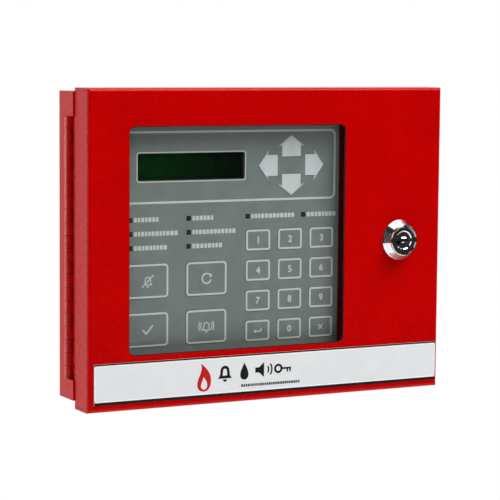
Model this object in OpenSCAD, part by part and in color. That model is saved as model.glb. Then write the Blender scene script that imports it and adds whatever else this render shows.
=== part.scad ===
// Wall-mounted fire alarm annunciator panel: a shallow sheet-steel box whose
// hinged, lockable door has a window over a display and a membrane keypad.
// X runs right, Y runs back to the wall, Z runs up. The origin is the centre
// of the four wall screws, on the box's rear face.

/* [Enclosure] */
// Width of the door
door_w = 228.6; // [225:1:400]
// Height of the door
door_h = 180; // [174:1:320]
// Depth from the wall to the front of the door
depth = 40.6; // [38:0.2:70]
// Depth of the door's turned edges
flange_d = 18.65; // [12:0.05:22]
// Thickness of the sheet steel
sheet = 1.5; // [1:0.1:2.2]
// Outer radius of the sheet's bends
bend_r = 2; // [1.6:0.1:3]
// How far the box's walls reach inside the door's edges
wall_overlap = 12; // [6:0.5:13]
// Gap between the door's edge and the box's top
top_gap = 0.6; // [0.4:0.1:4]
// Gap between the door's edge and the box's bottom
bottom_gap = 3.1; // [0.4:0.1:4]
// Gap between the door's edge and the box's right side
side_gap = 1.2; // [1:0.1:3]
// Gap between the left side of the box and the door's left edge
seam = 0.5; // [0.3:0.1:1.5]
// How far the left side of the box stands outside the door's left side
box_out = 0.9; // [0:0.1:1.2]
// Width of the stiffening lip on the left side of the box
lip_w = 9; // [5:0.5:14]

/* [Hinge] */
// Length of the continuous hinge
hinge_l = 147.5; // [90:0.5:160]
// Number of knuckles
knuckles = 20; // [8:2:24]
// Radius of the hinge pin
pin_r = 1.1; // [0.8:0.05:1.3]
// Thickness of the hinge leaves
leaf_t = 1; // [0.8:0.1:1.2]
// Distance from the door's left edge back to the pin
pin_setback = 8.5; // [7:0.1:11]
// Distance of the pin outside the door's left side
pin_out = 0.3; // [0.2:0.1:0.5]
// Gap between the pin and the knuckles that turn on it
pin_fit = 0.05; // [0.02:0.01:0.1]
// Gap between neighbouring knuckles
knuckle_gap = 0.3; // [0.2:0.1:0.6]

/* [Window] */
// Distance from the door's left side to the keypad panel
panel_left = 24.1; // [20:0.1:40]
// Distance from the door's bottom to the keypad panel
panel_bottom = 25.5; // [25:0.1:60]
// Width of the keypad panel
panel_w = 139.7; // [139:0.1:170]
// Height of the keypad panel
panel_h = 137; // [136:0.1:170]
// How much of the panel's sides the door hides
side_cover = 0.75; // [0.2:0.05:3]
// How much of the panel's top the door hides
top_cover = 3.6; // [1:0.1:6]
// How much of the panel's bottom the door hides
bottom_cover = 5.1; // [1:0.1:7]
// Corner radius of the window opening
window_r = 3.6; // [1:0.1:8]
// Thickness of the window pane
pane_t = 3; // [1.5:0.1:3.6]
// Width of the pane's border behind the door
pane_border = 8; // [5:0.5:9]
// Thickness of the pane's retaining clips
clip_t = 1; // [0.6:0.1:1.2]
// Radius of the threaded studs that hold the clips
stud_r = 1.5; // [1:0.1:2]

/* [Name plate] */
// Distance from the door's left side to the plate
plate_left = 3.6; // [2.5:0.1:20]
// Distance from the door's bottom to the plate
plate_bottom = 4.3; // [3:0.1:10]
// Height of the plate
plate_h = 23.1; // [10:0.1:23.5]
// Thickness of the plate
plate_t = 0.5; // [0.2:0.1:1.5]

/* [Lock] */
// Distance from the lock to the door's right side
lock_in = 28.3; // [24:0.1:36]
// Radius of the lock's head
head_r = 11.9; // [11:0.1:13]
// Height of the lock's head
head_h = 6.3; // [5:0.1:9]
// Radius of the threaded barrel
barrel_r = 9.5; // [8.5:0.1:10.5]
// Width across the barrel's two flats
barrel_flats = 16; // [14:0.1:18]
// Length of the barrel behind the door's front face
barrel_l = 16; // [13:0.1:18]
// Radius of the plug's face
plug_r = 8.2; // [7:0.1:8.8]
// Radius of the plug's shank
shank_r = 6.5; // [5:0.1:7]
// Gap around the plug
plug_fit = 0.08; // [0.03:0.01:0.1]
// Length of the cam from the lock's axis to its tip
cam_l = 20; // [16:0.5:24]
// Width of the cam
cam_w = 13; // [10:0.5:16]
// Thickness of the cam
cam_t = 2; // [1.5:0.1:2.6]
// Thickness of the lock nut
nut_t = 4.5; // [3:0.1:5.5]
// Gap between the cam and the catch
catch_gap = 1; // [0.5:0.1:2]

/* [Keypad] */
// Depth of the keypad's face behind the door's front
panel_depth = 9.4; // [8.8:0.1:14]
// Thickness of the printed overlay
overlay_t = 0.8; // [0.4:0.1:1.5]
// Thickness of the carrier plate
carrier_t = 1.5; // [1:0.1:2.2]
// Gap around each key
key_gap = 0.2; // [0.15:0.05:0.4]
// How far the keys stand proud of the overlay
key_rise = 0.2; // [0.1:0.05:0.5]
// Travel of each key
key_travel = 0.4; // [0.2:0.05:0.5]
// Width of the function keys
function_w = 25.6; // [20:0.1:26]
// Height of the function keys
function_h = 19.26; // [12:0.1:20]
// Corner radius of the function keys
function_r = 2.3; // [1:0.1:4]
// Width of the number keys
number_w = 15.7; // [10:0.1:16]
// Height of the number keys
number_h = 12; // [8:0.1:12.5]
// Corner radius of the number keys
number_r = 1.6; // [0.8:0.1:3]
// Thickness of the keypad's circuit board
board_t = 1.6; // [1:0.1:2]

/* [Display] */
// Width of the display's window
lcd_w = 67.3; // [50:0.1:68]
// Height of the display's window
lcd_h = 15.5; // [12:0.1:17]
// Width of the display's own circuit board
lcd_board_w = 80; // [76:0.5:81]
// Height of the display's own circuit board
lcd_board_h = 36; // [30:0.5:37]
// Depth of the display's metal frame
lcd_frame_d = 6.2; // [4:0.1:8]

/* [Mounting] */
// Distance between the wall screws across the panel
wall_screws_x = 203.2; // [190:0.1:205]
// Distance between the wall screws up the panel
wall_screws_z = 139.7; // [100:0.1:150]
// Radius of the wall screws' holes
wall_hole_r = 2.5; // [1.5:0.1:4]
// Width of the cable entry in the rear wall
entry_w = 46; // [20:1:60]
// Height of the cable entry in the rear wall
entry_h = 26; // [14:1:34]

/* [Hidden] */
$fn = 48;
eps = 0.01;

// The box: its outer sides, and where its walls end
left = -door_w / 2;
right = door_w / 2;
box_left = left - box_out;
box_right = right - sheet - side_gap;
box_top = door_h / 2 - sheet - top_gap;
box_bottom = -door_h / 2 + sheet + bottom_gap;
front = -depth;
flange_end = front + flange_d;
wall_front = flange_end - wall_overlap;
left_wall_front = flange_end + seam;

// The hinge
pin_x = left - pin_out;
pin_y = flange_end + pin_setback;
knuckle_r = pin_r + leaf_t + 0.1;
knuckle_clear = knuckle_r + 0.4;
knuckle_pitch = hinge_l / knuckles;
hinge_bottom = -hinge_l / 2;

// The keypad panel and the door's window over it
panel_x = left + panel_left + panel_w / 2;
panel_z = -door_h / 2 + panel_bottom + panel_h / 2;
panel_x0 = panel_x - panel_w / 2;
panel_x1 = panel_x + panel_w / 2;
panel_z0 = panel_z - panel_h / 2;
panel_z1 = panel_z + panel_h / 2;
window_w = panel_w - 2 * side_cover;
window_h = panel_h - top_cover - bottom_cover;
window_z = panel_z + (bottom_cover - top_cover) / 2;
pane_w = window_w + 2 * pane_border;
pane_h = window_h + 2 * pane_border;
pane_front = front + sheet;
clip_y = pane_front + pane_t;
clip_w = 10;
clip_reach = 4;
stud_out = 3.2;
nut_h = 2;

// The keypad's layers, from the front back
overlay_y = front + panel_depth;
carrier_y = overlay_y + overlay_t;
flange_y = carrier_y + carrier_t;
key_flange_t = 0.4;
key_flange_w = 0.6;
dome_gap = 0.1;
dome_h = 0.5;
board_y = flange_y + key_flange_t + key_travel + dome_gap + dome_h;
board_back = board_y + board_t;
board_edge = 0.8;

// Where the keys stand, from the panel's lower corners
function_x = panel_x0 + 16.26;
function_z = panel_z0 + 18.1;
function_pitch_x = 36.93;
function_pitch_z = 27.68;
number_x = panel_x1 - 53.36;
number_z = panel_z0 + 13.87;
number_pitch_x = 20.95;
number_pitch_z = 17.6;
arrow_x = panel_x1 - 31.95;
arrow_z = panel_z1 - 27.43;
arrow_tip = 17.35;
arrow_shoulder = 11.7;
arrow_sweep = 0.8;
arrow_blunt = 0.5;
arrow_foot = 5.04;
arrow_barb = 8.4;
arrow_shaft = 6.12;
arrow_spread = 4;
arrow_middle = 9.5;

// Node, shape and place of each key
FUNCTION_KEYS = [
    ["key_acknowledge", 0, 0],
    ["key_drill", 1, 0],
    ["key_silence", 0, 1],
    ["key_reset", 1, 1]
];
NUMBER_KEYS = [
    ["key_enter", 0, 0],
    ["key_0", 1, 0],
    ["key_escape", 2, 0],
    for (n = [1:9]) [str("key_", n), (n - 1) % 3, 3 - floor((n - 1) / 3)]
];
ARROW_KEYS = [["key_up", 0], ["key_left", 90], ["key_down", 180], ["key_right", 270]];

// The display
lcd_x = panel_x0 + 43.69;
lcd_z = panel_z1 - 27.04;
lcd_frame_w = 71.3;
lcd_frame_h = 24.2;
lcd_glass_t = 2.4;
lcd_board_y = flange_y + lcd_frame_d;
lcd_board_t = 1.6;
DISPLAY_POSTS = [
    for (x = [-1, 1], z = [-1, 1])
        [lcd_x + x * (lcd_board_w / 2 - 2.5), lcd_z + z * (lcd_board_h / 2 - 2.5)]
];
board_cut_x = lcd_x + lcd_board_w / 2 + 1;
board_cut_z = lcd_z - lcd_board_h / 2 - 1.5;

// The status lights: three rows of two, and two more beside the top row
led_z = panel_z1 - 56.46;
led_pitch_z = 7.97;
led_columns = [panel_x0 + 5.4, panel_x0 + 41.71];
LEDS = concat(
    [for (x = led_columns, row = [0:2]) [x, led_z - row * led_pitch_z]],
    [for (x = [panel_x1 - 60.26, panel_x1 - 23.78]) [x, led_z]]
);
led_window = 2.7;
led_r = 1;

// Standoffs and screws of the keypad
standoff_in = 4;
standoff_r = 2.5;
standoff_clear = 0.5;
STANDOFFS = [
    for (x = [panel_x0 + standoff_in, panel_x1 - standoff_in])
        for (z = [panel_z0 + standoff_in, panel_z1 - standoff_in]) [x, z]
];
panel_screw_r = 1.5;
panel_screw_head_r = 2.6;

// Screws that hold the keypad's circuit board behind the carrier plate
BOARD_FIXINGS = [
    [panel_x0 + 34.7, panel_z0 + 5], [panel_x0 + 34.7, panel_z0 + 63],
    [panel_x0 + 72.2, panel_z0 + 5], [panel_x0 + 72.2, panel_z0 + 60],
    [panel_x1 - 51.7, panel_z1 - 9], [panel_x1 - 11.7, panel_z1 - 9]
];
board_screw_r = 1.25;
screw_fit = 0.15;
spacer_r = 2.5;
post_r = 2.2;

// Parts on the rear of the keypad's circuit board
chip_w = 14;
chip_x = panel_x + 25;
chip_z = panel_z - 10;
sounder_r = 7;
sounder_h = 8;
sounder_x = panel_x1 - 20;
sounder_z = panel_z1 - 30;
terminals = 6;
terminal_pitch = 5;
terminal_h = 11;
terminal_d = 10;
terminal_x = panel_x - 40;
terminal_z = panel_z0 + 16;

// The lock
lock_x = right - lock_in;
lock_z = 0;
hole_fit = 0.1;
barrel_end = front + barrel_l;
cam_y = barrel_end + 0.6;
plug_tail = 4;
cam_bolt_r = 2;
catch_lip = 11;
catch_h = 22;
catch_t = 1.5;
catch_y = cam_y - catch_gap - catch_t;
catch_x = box_right - sheet;

// Earth stud in the lower right of the box, and the cable entry
earth_x = box_right - 18;
earth_z = box_bottom + 16;
earth_r = 2;
earth_l = 12;
entry_x = panel_x + 30;
entry_z = panel_z0 + 30;

// ---------- Shared shapes ----------

// Gives a flat outline in X and Z its thickness, from y to y + t
module facing(y, t) {
    translate([0, y + t, 0]) rotate([90, 0, 0]) linear_extrude(t) children();
}

// A round bar along Y
module bar(x, z, y, length, r) {
    translate([x, y + length, z]) rotate([90, 0, 0]) cylinder(h = length, r = r);
}

// A rectangle with round corners, centred on the origin
module rounded(w, h, r) {
    square([w - 2 * r, h], center = true);
    square([w, h - 2 * r], center = true);
    for (x = [-1, 1], z = [-1, 1]) translate([x * (w / 2 - r), z * (h / 2 - r)]) circle(r);
}

// The section of a tray whose sides turn through a bend at y_bend, towards y_open
module tray_section(low, high, y_bend, y_open, r) {
    way = sign(y_open - y_bend);
    y_round = y_bend + way * r;
    translate([low, min(y_round, y_open)]) square([high - low, abs(y_open - y_round)]);
    translate([low + r, min(y_bend, y_round)]) square([high - low - 2 * r, r]);
    for (x = [low + r, high - r]) translate([x, y_round]) circle(r);
}

// A solid block with the outside of such a tray, bent on all four edges
module tray_block(x0, x1, z0, z1, y_bend, y_open, r) {
    intersection() {
        translate([0, 0, z0]) linear_extrude(z1 - z0) tray_section(x0, x1, y_bend, y_open, r);
        translate([x0, 0, 0]) rotate([90, 0, 90]) linear_extrude(x1 - x0)
            mirror([1, -1, 0]) tray_section(z0, z1, y_bend, y_open, r);
    }
}

// The tray itself: the block without its hollow
module tray(x0, x1, z0, z1, y_bend, y_open) {
    way = sign(y_open - y_bend);
    difference() {
        tray_block(x0, x1, z0, z1, y_bend, y_open, bend_r);
        tray_block(x0 + sheet, x1 - sheet, z0 + sheet, z1 - sheet,
                   y_bend + way * sheet, y_open + way, bend_r - sheet);
    }
}

// A hexagonal nut or bar along Y, w across its flats
module hex_bar(x, z, y, length, w) {
    translate([x, 0, z]) facing(y, length) rotate(30) circle(r = w / sqrt(3), $fn = 6);
}

// The strip of a leaf that runs back or forward from the pin, between two depths
module leaf_strip(x, y_a, y_b, z, length) {
    translate([x, min(y_a, y_b), z]) cube([leaf_t, abs(y_b - y_a), length]);
}

// Every second knuckle, as the height of its lower end
function knuckle_starts(first) =
    [for (i = [first:2:knuckles - 1]) hinge_bottom + i * knuckle_pitch + knuckle_gap / 2];
knuckle_l = knuckle_pitch - knuckle_gap;

// ---------- The box ----------

module back_box() {
    notch_back = pin_y + knuckle_clear;
    color("firebrick") difference() {
        union() {
            tray(box_left, box_right, box_bottom, box_top, 0, wall_front);
            translate([box_left + eps, left_wall_front, box_bottom + sheet / 2])
                cube([lip_w, sheet, box_top - box_bottom - sheet]);
        }
        translate([box_left - 1, wall_front - 1, box_bottom - 1])
            cube([box_out + 1 + sheet + side_gap, left_wall_front - wall_front + 1,
                  box_top - box_bottom + 2]);
        translate([box_left - 1, left_wall_front - 1, hinge_bottom - knuckle_gap])
            cube([lip_w + 2, notch_back - left_wall_front + 1, hinge_l + 2 * knuckle_gap]);
        for (x = [-1, 1], z = [-1, 1])
            bar(x * wall_screws_x / 2, z * wall_screws_z / 2, -sheet - 1, sheet + 2, wall_hole_r);
        translate([entry_x, 0, entry_z]) facing(-sheet - 1, sheet + 2) rounded(entry_w, entry_h, 3);
    }
}

module hinge_box_leaf() {
    leaf_x = box_left + sheet;
    root = leaf_x + leaf_t - pin_x;
    color("firebrick") difference() {
        union() {
            leaf_strip(leaf_x, pin_y + knuckle_clear, -bend_r, hinge_bottom, hinge_l);
            for (z = knuckle_starts(0)) {
                leaf_strip(leaf_x, pin_y, pin_y + knuckle_clear, z, knuckle_l);
                translate([pin_x, pin_y, z]) cube([root, pin_r, knuckle_l]);
                translate([pin_x, pin_y, z]) cylinder(h = knuckle_l, r = knuckle_r);
            }
        }
        translate([pin_x, pin_y, hinge_bottom - 1]) cylinder(h = hinge_l + 2, r = pin_r);
    }
}

module hinge_pin() {
    color("silver") translate([pin_x, pin_y, hinge_bottom]) cylinder(h = hinge_l, r = pin_r);
}

module latch_catch() {
    color("gainsboro") translate([0, 0, lock_z - catch_h / 2]) union() {
        translate([catch_x - catch_t, catch_y, 0]) cube([catch_t, -catch_y - 10, catch_h]);
        translate([catch_x - catch_lip, catch_y, 0]) cube([catch_lip, catch_t, catch_h]);
    }
}

module earth_stud() {
    color("goldenrod") bar(earth_x, earth_z, -sheet - earth_l, earth_l, earth_r);
}

module earth_nut() {
    color("goldenrod") difference() {
        hex_bar(earth_x, earth_z, -sheet - 6, 3, 7);
        bar(earth_x, earth_z, -sheet - 7, 5, earth_r);
    }
}

// ---------- The keypad ----------

module panel_standoffs() {
    color("gold") for (p = STANDOFFS) difference() {
        bar(p[0], p[1], flange_y, -sheet - flange_y, standoff_r);
        bar(p[0], p[1], flange_y - 1, 9, panel_screw_r);
    }
}

module panel_screws() {
    color("silver") for (p = STANDOFFS) {
        bar(p[0], p[1], carrier_y, carrier_t, panel_screw_head_r);
        bar(p[0], p[1], carrier_y, carrier_t + 6, panel_screw_r);
    }
}

// The way out of an edge from a to b, for an outline whose points run clockwise
function way_out(a, b) = [a[1] - b[1], b[0] - a[0]] / norm(b - a);

// A clockwise outline with each edge moved out by grow
function grown_outline(points, grow) = [
    for (i = [0:len(points) - 1])
        let (
            n = len(points),
            before = way_out(points[(i + n - 1) % n], points[i]),
            after = way_out(points[i], points[(i + 1) % n])
        )
        points[i] + grow * (before + after) / (1 + before * after)
];

// The outline of an arrow key that points up, its shaft towards the pad's centre
module arrow_outline(grow) {
    barb_z = arrow_shoulder - arrow_sweep;
    right_side = [
        [arrow_barb, barb_z + arrow_blunt / 2], [arrow_barb, barb_z - arrow_blunt / 2],
        [arrow_shaft, arrow_shoulder], [arrow_shaft, arrow_foot]
    ];
    left_side = [for (i = [3:-1:0]) [-right_side[i][0], right_side[i][1]]];
    polygon(grown_outline(concat([[0, arrow_tip]], right_side, left_side), grow));
}

// Arrows that point sideways stand further out than those that point up and down
function arrow_shift(turn) = turn % 180 == 0 ? 0 : arrow_spread;

module arrow_place(turn) {
    translate([arrow_x, arrow_z]) rotate(turn) translate([0, arrow_shift(turn)]) children();
}

module function_place(k) {
    translate([function_x + k[1] * function_pitch_x, function_z + k[2] * function_pitch_z])
        children();
}

module number_place(k) {
    translate([number_x + k[1] * number_pitch_x, number_z + k[2] * number_pitch_z]) children();
}

// The outlines of all keys, grown by a gap
module key_outlines(grow) {
    for (k = FUNCTION_KEYS)
        function_place(k) rounded(function_w + 2 * grow, function_h + 2 * grow, function_r + grow);
    for (k = NUMBER_KEYS)
        number_place(k) rounded(number_w + 2 * grow, number_h + 2 * grow, number_r + grow);
    for (k = ARROW_KEYS) arrow_place(k[1]) arrow_outline(grow);
}

module carrier_plate() {
    color("silver") difference() {
        translate([panel_x, 0, panel_z]) facing(carrier_y, carrier_t) rounded(panel_w, panel_h, 2);
        facing(carrier_y - 1, carrier_t + 2) key_outlines(key_gap);
        translate([lcd_x, 0, lcd_z]) facing(carrier_y - 1, carrier_t + 2)
            square([lcd_w, lcd_h], center = true);
        for (p = LEDS) bar(p[0], p[1], carrier_y - 1, carrier_t + 2, led_r + 0.3);
        for (p = STANDOFFS) bar(p[0], p[1], carrier_y - 1, carrier_t + 2, panel_screw_head_r);
        for (p = BOARD_FIXINGS) bar(p[0], p[1], carrier_y - 1, carrier_t + 2, board_screw_r);
    }
}

module board_spacers() {
    color("silver") for (p = BOARD_FIXINGS) difference() {
        bar(p[0], p[1], flange_y, board_y - flange_y, spacer_r);
        bar(p[0], p[1], flange_y - 1, board_y - flange_y + 2, board_screw_r + screw_fit);
    }
}

module board_screws() {
    color("silver") for (p = BOARD_FIXINGS) {
        bar(p[0], p[1], carrier_y + 0.2, board_back - carrier_y, board_screw_r);
        bar(p[0], p[1], board_back, 1.6, 2.3);
    }
}

module keypad_overlay() {
    color("slategray") difference() {
        translate([panel_x, 0, panel_z]) facing(overlay_y, overlay_t) rounded(panel_w, panel_h, 2);
        facing(overlay_y - 1, overlay_t + 2) key_outlines(key_gap);
        translate([lcd_x, 0, lcd_z]) facing(overlay_y - 1, overlay_t + 2)
            rounded(lcd_w, lcd_h, 1);
        for (p = LEDS) translate([p[0], 0, p[1]]) facing(overlay_y - 1, overlay_t + 2)
            square(led_window, center = true);
    }
}

module led_windows() {
    color("black") for (p = LEDS) translate([p[0], 0, p[1]]) facing(overlay_y, overlay_t)
        square(led_window, center = true);
}

module status_leds() {
    color("whitesmoke") for (p = LEDS) bar(p[0], p[1], carrier_y, board_y - carrier_y, led_r);
}

// A key's cap, and the wider flange behind the carrier plate that keeps it in
module key_cap() {
    cap_y = overlay_y - key_rise;
    color("slategray") {
        facing(cap_y, flange_y - cap_y) children(0);
        facing(flange_y, key_flange_t) children(1);
    }
}

module function_key(k) {
    grown = 2 * key_flange_w;
    key_cap() {
        function_place(k) rounded(function_w, function_h, function_r);
        function_place(k) rounded(function_w + grown, function_h + grown, function_r);
    }
}

module number_key(k) {
    grown = 2 * key_flange_w;
    key_cap() {
        number_place(k) rounded(number_w, number_h, number_r);
        number_place(k) rounded(number_w + grown, number_h + grown, number_r);
    }
}

module arrow_key(k) {
    key_cap() {
        arrow_place(k[1]) arrow_outline(0);
        arrow_place(k[1]) arrow_outline(key_flange_w);
    }
}

// The centres of all keys, where the snap domes are
DOMES = concat(
    [for (k = FUNCTION_KEYS)
        [function_x + k[1] * function_pitch_x, function_z + k[2] * function_pitch_z]],
    [for (k = NUMBER_KEYS) [number_x + k[1] * number_pitch_x, number_z + k[2] * number_pitch_z]],
    [for (k = ARROW_KEYS)
        [arrow_x - (arrow_middle + arrow_shift(k[1])) * sin(k[1]),
         arrow_z + (arrow_middle + arrow_shift(k[1])) * cos(k[1])]]
);

module key_domes() {
    dome_r = 4;
    color("silver") for (p = DOMES) translate([p[0], board_y, p[1]]) rotate([90, 0, 0])
        rotate_extrude() polygon([
            [0, 0], [dome_r, 0], [dome_r, 0.1], [dome_r - 0.8, 0.4], [dome_r / 2, dome_h], [0, dome_h]
        ]);
}

module keypad_board() {
    color("seagreen") difference() {
        translate([panel_x, 0, panel_z]) facing(board_y, board_t)
            square([panel_w - 2 * board_edge, panel_h - 2 * board_edge], center = true);
        translate([panel_x0, board_y - 1, board_cut_z])
            cube([board_cut_x - panel_x0, board_t + 2, panel_z1 - board_cut_z]);
        for (p = STANDOFFS) bar(p[0], p[1], board_y - 1, board_t + 2, standoff_r + standoff_clear);
        for (p = BOARD_FIXINGS) bar(p[0], p[1], board_y - 1, board_t + 2, board_screw_r + screw_fit);
    }
}

module display_frame() {
    color("dimgray") difference() {
        translate([lcd_x, 0, lcd_z]) facing(flange_y, lcd_frame_d)
            square([lcd_frame_w, lcd_frame_h], center = true);
        translate([lcd_x, 0, lcd_z]) facing(flange_y - 1, 2)
            square([lcd_w - 1, lcd_h - 1], center = true);
        translate([lcd_x, 0, lcd_z]) facing(flange_y + 0.5, lcd_frame_d)
            square([lcd_frame_w - 1, lcd_frame_h - 1], center = true);
    }
}

module display_glass() {
    color("darkgreen") translate([lcd_x, 0, lcd_z]) facing(flange_y + 0.5, lcd_glass_t)
        square([lcd_frame_w - 1, lcd_frame_h - 1], center = true);
}

module display_board() {
    color("seagreen") difference() {
        translate([lcd_x, 0, lcd_z]) facing(lcd_board_y, lcd_board_t)
            square([lcd_board_w, lcd_board_h], center = true);
        for (p = DISPLAY_POSTS)
            bar(p[0], p[1], lcd_board_y - 1, lcd_board_t + 2, board_screw_r + screw_fit);
    }
}

// Riveted posts that carry the display's board behind the carrier plate
module display_posts() {
    color("gold") for (p = DISPLAY_POSTS) {
        bar(p[0], p[1], flange_y, lcd_frame_d, post_r);
        bar(p[0], p[1], flange_y, lcd_frame_d + lcd_board_t + 1, board_screw_r);
        bar(p[0], p[1], lcd_board_y + lcd_board_t, 1, post_r);
    }
}

// A flat ribbon from the display's board down to the keypad's board
module display_ribbon() {
    ribbon_t = 0.8;
    loop = 7;
    z_high = lcd_z - lcd_board_h / 2 + 3;
    z_low = board_cut_z - 4;
    y_high = lcd_board_y + lcd_board_t;
    y_far = y_high + loop;
    color("lightgray") translate([lcd_x - 20, 0, 0]) rotate([90, 0, 90]) linear_extrude(32)
        polygon([
            [y_high, z_high], [y_far, z_high], [y_far, z_low - ribbon_t],
            [board_back, z_low - ribbon_t], [board_back, z_low], [y_far - ribbon_t, z_low],
            [y_far - ribbon_t, z_high - ribbon_t], [y_high, z_high - ribbon_t]
        ]);
}

module controller_chip() {
    color("dimgray") translate([chip_x, 0, chip_z]) facing(board_back, 1.4)
        square(chip_w, center = true);
}

module capacitors() {
    color("midnightblue") for (x = [0, 11]) bar(chip_x - 30 - x, chip_z + 4, board_back, 11, 4);
}

module voltage_regulator() {
    color("dimgray") translate([chip_x - 26, 0, chip_z - 18]) facing(board_back, 4.5)
        square([10, 9], center = true);
}

module sounder() {
    color("black") difference() {
        bar(sounder_x, sounder_z, board_back, sounder_h, sounder_r);
        bar(sounder_x, sounder_z, board_back + sounder_h - 2, 3, 1.2);
    }
}

module terminal_block() {
    length = terminals * terminal_pitch;
    color("green") difference() {
        translate([terminal_x, 0, terminal_z]) facing(board_back, terminal_d)
            square([length, terminal_h], center = true);
        for (i = [0:terminals - 1]) {
            x = terminal_x + (i - (terminals - 1) / 2) * terminal_pitch;
            translate([x - 1.6, board_back + terminal_d / 2 - 1.5, terminal_z - terminal_h / 2 - 1])
                cube([3.2, 4, terminal_h - 3]);
            bar(x, terminal_z + 1, board_back + terminal_d - 3, 4, 1.9);
        }
    }
}

module terminal_screws() {
    color("silver") for (i = [0:terminals - 1])
        bar(terminal_x + (i - (terminals - 1) / 2) * terminal_pitch, terminal_z + 1,
            board_back + terminal_d - 3, 2, 1.7);
}

module address_switch() {
    color("crimson") difference() {
        translate([chip_x + 22, 0, chip_z - 22]) facing(board_back, 4)
            square([9.8, 22], center = true);
        for (i = [-3.5:1:3.5]) translate([chip_x + 22, 0, chip_z - 22 + i * 2.54])
            facing(board_back + 3, 2) square([4, 1.2], center = true);
    }
}

// ---------- The door ----------

module door() {
    color("red") difference() {
        tray(left, right, -door_h / 2, door_h / 2, front, flange_end);
        translate([panel_x, 0, window_z]) facing(front - 1, sheet + 2)
            rounded(window_w, window_h, window_r);
        translate([lock_x, 0, lock_z]) facing(front - 1, sheet + 2) intersection() {
            circle(barrel_r + hole_fit);
            square([2 * barrel_r + 2, barrel_flats + 2 * hole_fit], center = true);
        }
    }
}

module hinge_door_leaf() {
    leaf_x = left + sheet;
    root = leaf_x + leaf_t - pin_x;
    color("red") difference() {
        union() {
            leaf_strip(leaf_x, front + bend_r + sheet, pin_y - knuckle_clear, hinge_bottom, hinge_l);
            for (z = knuckle_starts(1)) {
                leaf_strip(leaf_x, pin_y - knuckle_clear, pin_y, z, knuckle_l);
                translate([pin_x, pin_y - pin_r, z]) cube([root, pin_r, knuckle_l]);
                translate([pin_x, pin_y, z]) cylinder(h = knuckle_l, r = knuckle_r);
            }
        }
        translate([pin_x, pin_y, hinge_bottom - 1]) cylinder(h = hinge_l + 2, r = pin_r + pin_fit);
    }
}

module window_pane() {
    color("aliceblue") translate([panel_x, 0, window_z]) facing(pane_front, pane_t)
        rounded(pane_w, pane_h, 4);
}

// The pane's studs stand just outside its edge: two above, two below and one on each side.
// Each has its place, and the way that it lies from the pane
STUDS = concat(
    [for (x = [-1, 1], z = [-1, 1])
        [panel_x + x * pane_w / 4, window_z + z * (pane_h / 2 + stud_out), 0, z]],
    [for (x = [-1, 1]) [panel_x + x * (pane_w / 2 + stud_out), window_z, x, 0]]
);

module pane_studs() {
    color("silver") for (s = STUDS)
        bar(s[0], s[1], pane_front, pane_t + clip_t + nut_h + 0.8, stud_r);
}

module pane_clips() {
    clip_l = clip_reach + 2 * stud_out;
    color("silver") for (s = STUDS) difference() {
        translate([s[0] - s[2] * clip_reach / 2, 0, s[1] - s[3] * clip_reach / 2])
            facing(clip_y, clip_t)
            square(s[2] == 0 ? [clip_w, clip_l] : [clip_l, clip_w], center = true);
        bar(s[0], s[1], clip_y - 1, clip_t + 2, stud_r);
    }
}

module pane_nuts() {
    color("silver") for (s = STUDS) difference() {
        hex_bar(s[0], s[1], clip_y + clip_t, nut_h, 5);
        bar(s[0], s[1], clip_y, clip_t + nut_h + 1, stud_r);
    }
}

module name_plate() {
    plate_right = right - bend_r;
    plate_x0 = left + plate_left;
    color("whitesmoke") translate([plate_x0, front - plate_t, -door_h / 2 + plate_bottom])
        cube([plate_right - plate_x0, plate_t, plate_h]);
}

// ---------- The lock ----------

// Turns a profile of radius and height about the lock's axis, height 0 at the door's front
module turned() {
    translate([lock_x, front, lock_z]) rotate([90, 0, 0]) rotate_extrude() children();
}

module lock_housing() {
    rim = 0.3;
    inner = plug_r + plug_fit;
    ring_r = inner + 0.5 + rim;
    color("silver") difference() {
        union() {
            turned() polygon([
                [0, 0], [head_r, 0], [head_r, 1], [head_r - 0.4, 1.5], [ring_r, head_h - 1.3],
                [ring_r, head_h - rim], [ring_r - rim, head_h], [0, head_h]
            ]);
            translate([lock_x, 0, lock_z]) facing(front, barrel_l) intersection() {
                circle(barrel_r);
                square([2 * barrel_r + 2, barrel_flats], center = true);
            }
        }
        bar(lock_x, lock_z, front - head_h - 1, head_h - 2, inner);
        bar(lock_x, lock_z, front - head_h - 1, head_h + barrel_l + 2, shank_r + plug_fit);
    }
}

module lock_nut() {
    color("silver") difference() {
        hex_bar(lock_x, lock_z, front + sheet, nut_t, 22.2);
        bar(lock_x, lock_z, front + sheet - 1, nut_t + 2, barrel_r);
    }
}

module lock_plug() {
    face = head_h - 1;
    seat = 3.1;
    keyway_w = 9;
    keyway_h = 1.5;
    color("silver") difference() {
        union() {
            turned() polygon([
                [0, seat], [plug_r, seat], [plug_r, face - 0.6], [plug_r - 0.6, face],
                [5.6, face], [5, face - 0.5], [0, face - 0.5]
            ]);
            bar(lock_x, lock_z, front - seat, seat + barrel_l + 0.6, shank_r);
            translate([lock_x, 0, lock_z]) facing(cam_y, cam_t) square(2 * plug_tail, center = true);
        }
        translate([lock_x, 0, lock_z]) facing(front - head_h, 12)
            square([keyway_w, keyway_h], center = true);
        translate([lock_x, 0, lock_z]) facing(front - head_h, 12)
            translate([-keyway_w / 2, -2]) square([2.2, 4]);
        bar(lock_x, lock_z, cam_y + cam_t - 7, 8, cam_bolt_r);
    }
}

module lock_cam() {
    color("silver") translate([lock_x, 0, lock_z]) facing(cam_y, cam_t) difference() {
        union() {
            circle(cam_w / 2 + 2);
            translate([-cam_w / 2, -cam_l]) square([cam_w, cam_l]);
        }
        square(2 * plug_tail, center = true);
    }
}

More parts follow.
